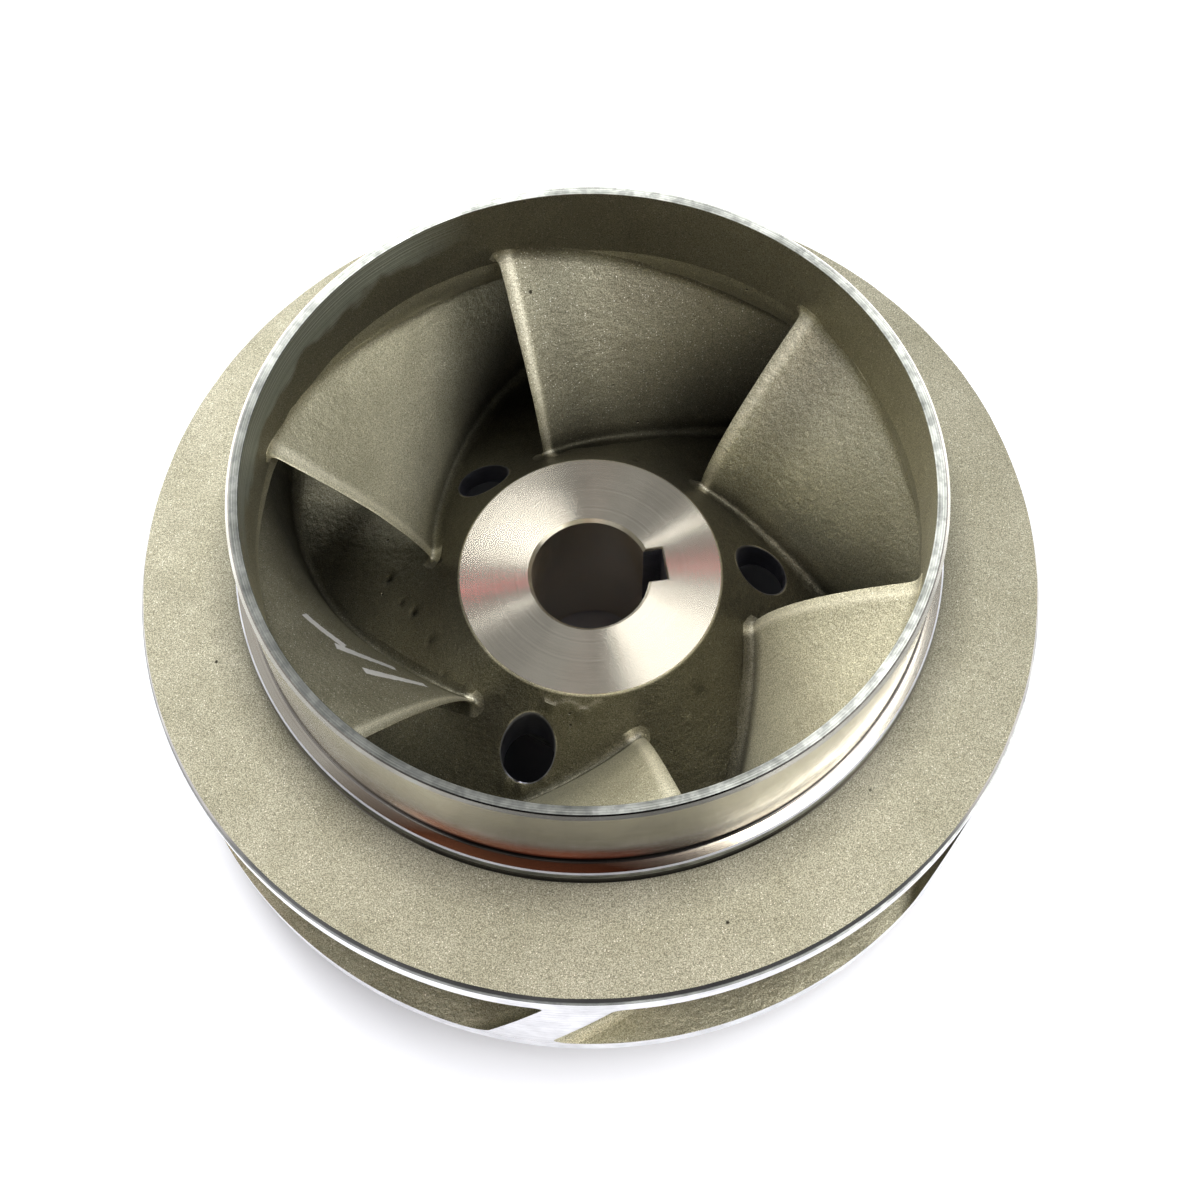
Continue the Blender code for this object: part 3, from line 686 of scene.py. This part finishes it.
def back_shroud():
    """Closed rings of points round the axis: the bore, the hub's face, the flank and the back
    shroud, the rim, the flat back, the chamber and the hub's rear face. The three balance
    holes are windows in the flank and in the chamber's roof, joined by a drilled wall."""
    finishes = [PASSAGE, FACED, BORE, DULL, RIM, DRILLED]
    circle = np.arange(AROUND) - AROUND // 2 + KEYWAY_ANGLE
    rings = []
    ring_finishes = []

    def lift(x, y):
        """How far the mould's unevenness and the marks raise the cast metal."""
        flat = np.stack([x, y, np.zeros_like(x)], axis=-1)
        return skin(flat, HUB_SKIN) + FLANK_MARK_SCALE * marks(x, y, FLANK_MARKS)

    def roof(radius):
        """Height of the chamber's roof, a straight slope."""
        slope = (CHAMBER_INNER_DEPTH - CHAMBER_DEPTH) / (CHAMBER_INNER_RADIUS - CHAMBER_ROOF_RADIUS)
        return CHAMBER_DEPTH + (radius - CHAMBER_ROOF_RADIUS) * slope

    def ring(radius, angle, height, finish):
        """Adds one row of points round the axis."""
        rings.append(on_axis(radius, angle, height))
        ring_finishes.append(finishes.index(finish))

    def blend_rings(inner, outer, height, count, finish):
        """Adds rows that pass in even steps from one outline to another."""
        for share in np.linspace(0.0, 1.0, count):
            ring(*(a * (1.0 - share) + b * share for a, b in zip(inner, outer)), height, finish)

    # Bore and the hub's face
    deep, deep_angle = bore_outline(0.0)
    wide, wide_angle = bore_outline(BORE_CHAMFER)
    bore_heights = np.linspace(BORE_CHAMFER - HUB_REAR_LENGTH, HUB_FACE - BORE_CHAMFER, 16)
    for height in bore_heights[:-1]:
        ring(deep, deep_angle, height, BORE)
    bore_rows = len(rings)
    ring(deep, deep_angle, bore_heights[-1], FACED)
    blend_rings((wide, wide_angle), (HUB_RADIUS - HUB_BREAK, circle), HUB_FACE, 9, FACED)
    ring(HUB_RADIUS, circle, HUB_FACE - HUB_BREAK, PASSAGE)

    # Flank, back shroud and rim
    first = len(rings)
    near_hub = np.linspace(HUB_RADIUS + 0.5, WINDOW_INNER, 4)[:-1]
    window = np.linspace(WINDOW_INNER, WINDOW_OUTER, WINDOW_ROWS)
    stations = np.concatenate([near_hub, window, np.linspace(WINDOW_OUTER, OUTER_RADIUS, 34)[1:]])
    for radius in stations[:-1]:
        ring(radius, circle, hub_height(radius), PASSAGE)
    ring(OUTER_RADIUS, circle, hub_height(OUTER_RADIUS), RIM)
    ring(OUTER_RADIUS, circle, EDGE_BREAK, DULL)
    ring(OUTER_RADIUS - EDGE_BREAK, circle, 0.0, DULL)
    for radius in np.linspace(96.0, CHAMBER_RADIUS + 0.4, 5):
        ring(radius, circle, 0.0, DULL)

    # Chamber and the hub's rear face
    ring(CHAMBER_RADIUS, circle, 0.4, DULL)
    ring(CHAMBER_RADIUS, circle, CHAMBER_DEPTH, PASSAGE)
    ring(CHAMBER_ROOF_RADIUS, circle, CHAMBER_DEPTH, PASSAGE)
    roof_first = len(rings)
    window = np.linspace(ROOF_WINDOW_OUTER, ROOF_WINDOW_INNER, WINDOW_ROWS)
    roof_stations = np.concatenate([[54.0], window, [CHAMBER_INNER_RADIUS]])
    for radius in roof_stations:
        ring(radius, circle, roof(radius), PASSAGE)
    ring(HUB_REAR_RADIUS, circle, CHAMBER_INNER_DEPTH - 2.0, PASSAGE)
    for height in (9.0, 0.0, REAR_CHAMFER - HUB_REAR_LENGTH):
        ring(HUB_REAR_RADIUS, circle, height, DULL)
    blend_rings((HUB_REAR_RADIUS - REAR_CHAMFER, circle), (wide, wide_angle), -HUB_REAR_LENGTH, 5, DULL)

    # The mould's unevenness, on the cast rows only; it begins over 3 mm from the hub's face
    grid = np.array(rings)
    rows = len(rings)
    cast_rows = np.zeros(rows)
    cast_rows[first:first + len(stations)] = np.clip((stations - HUB_RADIUS) / 3.0, 0.0, 1.0)
    cast_rows[first + len(stations) - 1] = 0.0
    cast_rows[roof_first:roof_first + len(roof_stations)] = 1.0
    grid[:, :, 2] += lift(grid[..., 0], grid[..., 1]) * cast_rows[:, None]

    # Cells, wear, and the windows of the balance holes with their walls
    index = np.arange(rows * AROUND).reshape(rows, AROUND)
    cells = ring_cells(rows, AROUND)
    keep = np.ones((rows, AROUND), bool)
    points = [grid.reshape(-1, 3)]
    made = rows * AROUND
    wear_and_light = marks(grid[..., 0], grid[..., 1], FLANK_MARKS) * cast_rows[:, None]
    wear_and_light *= np.where(wear_and_light > 0.0, BUMP_WEAR, PIT_WEAR)
    wear_and_light[first - 1] = HUB_EDGE_WEAR
    wear_and_painted_light = [wear_and_light.ravel()]
    extra_cells = []
    extra_slots = []
    flank_rows = first + len(near_hub) + np.arange(WINDOW_ROWS)
    roof_rows = roof_first + np.arange(WINDOW_ROWS, 0, -1)      # outwards, as on the flank
    for angle in HOLE_ANGLES:
        middle = int(round(angle - KEYWAY_ANGLE)) + AROUND // 2
        columns = np.arange(middle - WINDOW_HALF, middle + WINDOW_HALF + 1) % AROUND
        centre = on_axis(HOLE_CIRCLE, angle, 0.0)[:2]
        sides = []
        for window in (flank_rows, roof_rows):
            low, high = window.min(), window.max()
            keep[np.ix_(np.arange(low, high), columns[:-1])] = False
            sides.append(np.concatenate([
                index[window[0], columns[:-1]], index[window[:-1], columns[-1]],
                index[window[-1], columns[::-1][:-1]], index[window[::-1][:-1], columns[0]],
            ]))
        front_border, back_border = (grid.reshape(-1, 3)[side] for side in sides)
        way = front_border[:, :2] - centre
        way /= np.linalg.norm(way, axis=1)[:, None]
        chain = [sides[0]]
        new = []

        def add_loop(flat, height):
            """Adds a loop of points round the hole."""
            nonlocal made
            new.append(np.column_stack([flat, height]))
            chain.append(np.arange(made, made + len(flat)))
            made += len(flat)

        # Loops from the flank's window to the lip, down the drilled wall, and out to the roof's window
        for share, radius in ((0.35, 7.6), (0.7, 7.3), (1.0, HOLE_RADIUS + 0.75), (1.0, HOLE_RADIUS + 0.4)):
            flat = front_border[:, :2] * (1.0 - share) + (centre + radius * way) * share
            add_loop(flat, hub_height(np.linalg.norm(flat, axis=1)) + lift(*flat.T))
        lip = centre + HOLE_RADIUS * way
        upper = hub_height(np.linalg.norm(lip, axis=1)) + lift(*lip.T)
        lower = roof(np.linalg.norm(lip, axis=1))
        add_loop(centre + (HOLE_RADIUS + 0.12) * way, upper - 0.1)
        for share in (0.0, 0.25, 0.5, 0.75, 1.0):
            add_loop(lip, (upper - 0.45) * (1.0 - share) + (lower + 0.3) * share)
        wall_ends = len(chain) - 1
        add_loop(centre + (HOLE_RADIUS + 0.3) * way, lower)
        for share, radius in ((0.7, 7.2), (0.35, 7.6)):
            flat = back_border[:, :2] * (1.0 - share) + (centre + radius * way) * share
            add_loop(flat, roof(np.linalg.norm(flat, axis=1)) + lift(*flat.T))
        chain.append(sides[1])
        points.extend(new)
        lips = np.zeros(len(chain) - 2)
        lips[3:5] = LIP_WEAR
        lips = lips[:, None] * np.clip(skin(np.array(new), LIP_PATCHES), 0.0, 1.0)
        wear_and_painted_light.append(lips.ravel())
        loops = np.array(chain)
        extra_cells.append(band_cells(loops[:-1], loops[1:]).reshape(-1, 4))
        which = np.full(len(loops) - 1, finishes.index(PASSAGE))
        which[4:wall_ends + 1] = finishes.index(DRILLED)
        extra_slots.append(np.repeat(which, loops.shape[1]))

    cells = cells.reshape(rows, AROUND, 4)[keep]
    slots = np.repeat(ring_finishes, AROUND).reshape(rows, AROUND)
    slots[:bore_rows, AROUND // 2 - KEYWAY_SIDE:AROUND // 2 + KEYWAY_SIDE] = finishes.index(DRILLED)
    return casting_piece(
        "hub_and_back_shroud", np.concatenate(points), list(np.concatenate([cells, *extra_cells])),
        np.concatenate([slots[keep], *extra_slots]), finishes, np.concatenate(wear_and_painted_light),
    )


# Vanes

def vane(number):
    """One vane as a closed loop of stations, tip to nose along the visible face and back along
    the hidden one, carried from the hub to the shroud. At each wall the loop flares out along
    a quadratic curve from the wall to the face, which is the casting's fillet."""
    # Half the loop, from the middle of the nose outwards and closest near it, and how far the
    # seen and the unseen face stand off, as shares of the vane's thickness
    bend = np.radians(np.linspace(0.0, 90.0, 7))
    along = np.linspace(0.0, 1.0, 69)[1:] ** 1.45
    out = np.concatenate([NOSE_SHARE * (1.0 - np.cos(bend)), NOSE_SHARE + (1.0 - NOSE_SHARE) * along])
    bulge = np.concatenate([np.sin(bend), np.ones(len(along))])
    proud = BEAD * np.exp(-((out - 0.9 * NOSE_SHARE) / (0.8 * NOSE_SHARE)) ** 2) * bulge
    seen = 0.5 * NOSE_THICKNESS * (1.0 - bulge) - proud
    grown = smooth_step(out, NOSE_SHARE, NOSE_GROWS)
    unseen = 0.5 * NOSE_THICKNESS * (1.0 + bulge) + (1.0 - NOSE_THICKNESS) * grown
    share = np.concatenate([out[::-1], out[1:]])
    offset = VANE_THICKNESS_ANGLE * np.concatenate([seen[::-1], unseen[1:]])
    half = len(out)
    turn = 360.0 / VANES * number

    def face(up):
        """The loop at a share of the way from the hub to the shroud."""
        radius, angle, height = vane_face(share, up)
        return np.stack([radius, angle + offset, height])

    def outward(distance, radius, angle):
        """Unit direction along a wall, away from the vane, as (outwards, round the axis)."""
        plain = angle + VANE_THICKNESS_ANGLE * np.concatenate([proud[::-1], np.zeros(len(out) - 1)])
        steps = np.stack([np.gradient(distance), radius * np.gradient(np.radians(plain))])
        steps /= np.hypot(*steps)
        for _ in range(3):
            steps[:, 1:-1] = (steps[:, :-2] + 2.0 * steps[:, 1:-1] + steps[:, 2:]) / 4.0
        steps /= np.hypot(*steps)
        return np.stack([-steps[1], steps[0]])

    def flared(distance, radius, angle, width):
        """Where a fillet this wide meets a wall, as the distance along it and the turn from the
        face. Near the tip it only turns, so that the tip stays flush with the rims."""
        way = outward(distance, radius, angle)
        turns_only = smooth_step(share, 0.72, 0.98)
        slant = np.clip(np.abs(way[1]), 0.25, None)
        moved = distance + width * way[0] * (1.0 - turns_only)
        swung = width * (way[1] * (1.0 - turns_only) + np.sign(way[1]) * turns_only / slant)
        return moved, np.degrees(swung / radius)

    # Where the fillets meet both walls
    hub = face(0.0)
    shroud = face(1.0)
    hub_distance = np.interp(hub[0], HUB_STATIONS, HUB_LENGTHS)
    moved, swung = flared(hub_distance, hub[0], hub[1], HUB_FILLET)
    foot_radius = np.interp(moved, HUB_LENGTHS, HUB_STATIONS)
    hub_foot = np.stack([foot_radius, hub[1] + swung, hub_height(foot_radius)])
    moved, swung = flared(share * SHROUD_LENGTH, shroud[0], shroud[1], SHROUD_FILLET)
    foot_radius, foot_height = shroud_path(moved / SHROUD_LENGTH)
    shroud_foot = np.stack([foot_radius, shroud[1] + swung, foot_height])
    span = np.hypot(shroud[0] - hub[0], shroud[2] - hub[2])
    low, high = HUB_FILLET / span, 1.0 - SHROUD_FILLET / span

    # Columns from the hub to the shroud: a sunk end, a fillet, the face, a fillet, a sunk end
    columns = [hub_foot - np.array([[0.0], [0.0], [SUNK]])]
    for k in np.linspace(0.0, 1.0, 8):
        columns.append((1 - k) ** 2 * hub_foot + 2 * k * (1 - k) * hub + k * k * face(low))
    for k in np.linspace(0.0, 1.0, 15)[1:-1]:
        columns.append(face(low + k * (high - low)))
    for k in np.linspace(1.0, 0.0, 8):
        columns.append((1 - k) ** 2 * shroud_foot + 2 * k * (1 - k) * shroud + k * k * face(high))
    step = np.array([[-0.01], [0.01]])
    reached = np.stack(shroud_path(np.clip(moved / SHROUD_LENGTH + step, -1.0, 1.0)))
    line = reached[:, 1] - reached[:, 0]
    line /= np.hypot(*line)
    columns.append(shroud_foot + SUNK * np.stack([-line[1], np.zeros_like(line[0]), line[0]]))
    radius, angle, height = np.stack(columns, axis=1)   # each (columns, stations)
    edge = np.full(len(columns), OUTER_RADIUS)
    edge[[0, -1]] -= TIP_BACK
    radius = np.minimum(radius, edge[:, None])

    # Tip between both faces, flush with the rims
    tip = np.linspace(0.0, 1.0, 8)[1:-1]
    tip_angle = angle[:, :1] * (1.0 - tip) + angle[:, -1:] * tip
    tip_height = height[:, :1] * (1.0 - tip) + height[:, -1:] * tip
    tip_points = on_axis(np.repeat(edge[:, None], len(tip), axis=1), tip_angle + turn, tip_height)
    body = on_axis(radius, angle + turn, height)
    inside = np.tile(smooth_step(share, 1.0, 0.9), (len(columns), 1))
    inside[[0, -1]] = 0.0
    body += (skin(body, VANE_SKIN) * inside)[..., None] * np.array(VANE_SKIN_WAY)

    # Faces, with a flat cap over the loop at either end
    count = body.shape[1]
    index = np.arange(len(columns) * count).reshape(len(columns), count)
    tip_index = index.size + np.arange(len(columns) * len(tip)).reshape(len(columns), len(tip))
    cap = np.column_stack([index[:, 0], tip_index, index[:, -1]])
    sides = strip_cells(index)
    tips = strip_cells(cap)[:, ::-1]
    cells = list(sides) + list(tips)
    slots = [0] * len(sides) + [1] * len(tips)          # the vane's own finish, and the rim's
    for row, flip in ((0, 1), (len(columns) - 1, -1)):
        first = index[row, :half]
        second = index[row, half - 1:][::-1]
        quads = np.column_stack([first[1:-1], first[2:], second[2:], second[1:-1]])
        cells += [q if flip == 1 else q[::-1] for q in quads[:-1]]
        cells.append(np.array([first[-2], first[-1], second[-2]])[::flip])
        cells.append(np.concatenate([[first[0]], cap[row, 1:-1], [second[0], second[1], first[1]]])[::flip])
        slots += [0] * (len(quads) + 1)
    points = np.concatenate([body.reshape(-1, 3), tip_points.reshape(-1, 3)])

    # The leading edge is bright, partly from wear and partly a painted highlight; on some vanes a
    # painted shadow runs just behind it
    nose_wear_and_painted_light = np.exp(-((share - 0.45 * NOSE_SHARE) / (0.35 * NOSE_SHARE)) ** 2)
    nose_wear_and_painted_light *= np.linspace(1.0, 0.3, len(share))
    if number in VANES_WITH_PAINTED_EDGE_SHADOW:
        nose_wear_and_painted_light[:half] -= PAINTED_EDGE_SHADOW * np.exp(-((share[:half] - 0.05) / 0.045) ** 2)
    wear_and_painted_light = np.concatenate([np.tile(nose_wear_and_painted_light, len(columns)), np.zeros(tip_index.size)])
    return casting_piece(f"vane_{number + 1}", points, cells, slots, [PAINTED_LIGHT_VANE_FINISHES[number], RIM], wear_and_painted_light)


front_shroud()
hub = back_shroud()
for number in range(VANES):
    vane(number)


# Table, light and camera

WHITE = (1.0, 1.0, 1.0)
RED = (1.0, 0.01, 0.05)
WARM = (1.0, 0.25, 0.1)


def table_top():
    """A flat white sheet, a grid of cells a metre across each way. It is painted dark under the
    impeller, a painted shade that keeps its openings dark, and glows a little further out, a
    painted light that lifts the impeller's shadow."""
    reach = np.linspace(-3.0, 3.0, 7)
    x, y = np.meshgrid(reach, reach, indexing="ij")
    points = np.stack([x, y, np.zeros_like(x)], axis=-1).reshape(-1, 3)
    mesh = bpy.data.meshes.new("table_top")
    mesh.from_pydata(points.tolist(), [], strip_cells(np.arange(x.size).reshape(x.shape)).tolist())
    finish, add = new_finish("white_card_painted_shade_and_glow")
    radius = radius_of(add, add("TexCoord").outputs["Object"])[0]
    # Painted shade: dark card under the impeller
    away = add("MapRange", radius, 0.082, 0.096, 0.0, 1.0)
    shader = add(
        "BsdfPrincipled", Roughness=0.8, Emission_Color=hex_colour("#eef4ff"),
        Base_Color=add("Mix", away, hex_colour("#46474d"), hex_colour("#f7f8fa"), **COLOURS),
        # Painted light: the card glows a little beyond the impeller
        Emission_Strength=add("MapRange", radius, 0.092, 0.113, 0.0, 0.24),
    )
    add("OutputMaterial", shader)
    mesh.materials.append(finish)
    top = bpy.data.objects.new("table_top", mesh)
    bpy.context.scene.collection.objects.link(top)


def soft_box(name, azimuth, elevation, size, power, colour=WHITE, along=None, distance=1.5, only=None):
    """A rectangular lamp that faces the impeller from an azimuth, counted from +X, and an
    elevation. Its size is across and along a horizontal direction, its own azimuth unless
    another is given: the hub's face then shows it as a sector with sharp sides. It lights
    everything, or only one piece."""
    a, e = math.radians(azimuth), math.radians(elevation)
    way = math.radians(azimuth if along is None else along)
    back = np.array([math.cos(e) * math.cos(a), math.cos(e) * math.sin(a), math.sin(e)])
    up = np.array([math.cos(way), math.sin(way), 0.0])
    up[2] = -(back[0] * up[0] + back[1] * up[1]) / back[2]
    up /= np.linalg.norm(up)
    side = np.cross(up, back)
    lamp = bpy.data.lights.new(name, "AREA")
    lamp.shape = "RECTANGLE"
    lamp.size, lamp.size_y = size
    lamp.energy = power
    lamp.color = colour
    thing = bpy.data.objects.new(name, lamp)
    place = back * distance + np.array([0.0, 0.0, HUB_REAR_LENGTH * MM])
    rows = [[side[i], up[i], back[i], place[i]] for i in range(3)]
    thing.matrix_world = Matrix(rows + [[0.0, 0.0, 0.0, 1.0]])
    bpy.context.scene.collection.objects.link(thing)
    if only:
        lit = bpy.data.collections.new(f"{name}_lights")
        lit.objects.link(only)
        thing.light_linking.receiver_collection = lit


def surroundings():
    """The room: dim, and lighter behind the impeller than on the side where the camera stands."""
    world = bpy.data.worlds.new("room")
    world.use_nodes = True
    world.node_tree.nodes.clear()
    add = functools.partial(add_node, world.node_tree)
    way = add("TexCoord").outputs["Generated"]
    facing = add("VectorMath", way, (-0.5, 0.8, 0.0), operation="DOT_PRODUCT")
    level = add("MapRange", facing, -0.8, 0.8, 0.32, 0.54)
    add("OutputWorld", add("Background", hex_colour("#fbfcff"), level))
    bpy.context.scene.world = world


def camera():
    """Stands where the photograph's ellipses put it, turned from straight down by three angles
    in degrees: up, sideways, and round the upright."""
    place = Vector((0.0, -0.186484, 0.410274 + HUB_REAR_LENGTH * MM))
    turn = Euler([math.radians(angle) for angle in (25.6341, 0.4871, -1.6917)])
    lens = bpy.data.cameras.new("camera")
    lens.sensor_width = 36.0
    lens.lens = 52.895
    lens.clip_start = 0.01
    lens.clip_end = 30.0
    thing = bpy.data.objects.new("camera", lens)
    thing.matrix_world = Matrix.LocRotScale(place, turn, None)
    bpy.context.scene.collection.objects.link(thing)
    bpy.context.scene.camera = thing


table_top()
surroundings()
soft_box("window_left", 114.0, 42.0, (0.72, 0.35), 14.0, along=138.0)
soft_box("lamp_right", 11.0, 71.0, (0.66, 0.45), 5.8, along=-48.0)
soft_box("wall_right", -31.0, 43.0, (0.9, 0.8), 11.0)
soft_box("wall_front", -122.0, 58.0, (0.8, 0.6), 3.6)
soft_box("wall_left", 132.0, 32.0, (0.6, 0.9), 8.0)
soft_box("strip_behind", 60.4, 45.5, (0.04, 0.45), 1.4, along=30.0)
soft_box("red_strip_left", 137.7, 55.5, (0.04, 0.35), 0.42, RED, along=184.0, only=hub)
soft_box("red_strip_right", 46.3, 52.6, (0.03, 0.25), 0.3, RED, along=4.0, only=hub)
soft_box("warm_lamp_front", -98.0, 60.0, (0.4, 0.3), 0.45, WARM, distance=1.2)
camera()
bpy.context.scene.view_settings.view_transform = "Standard"
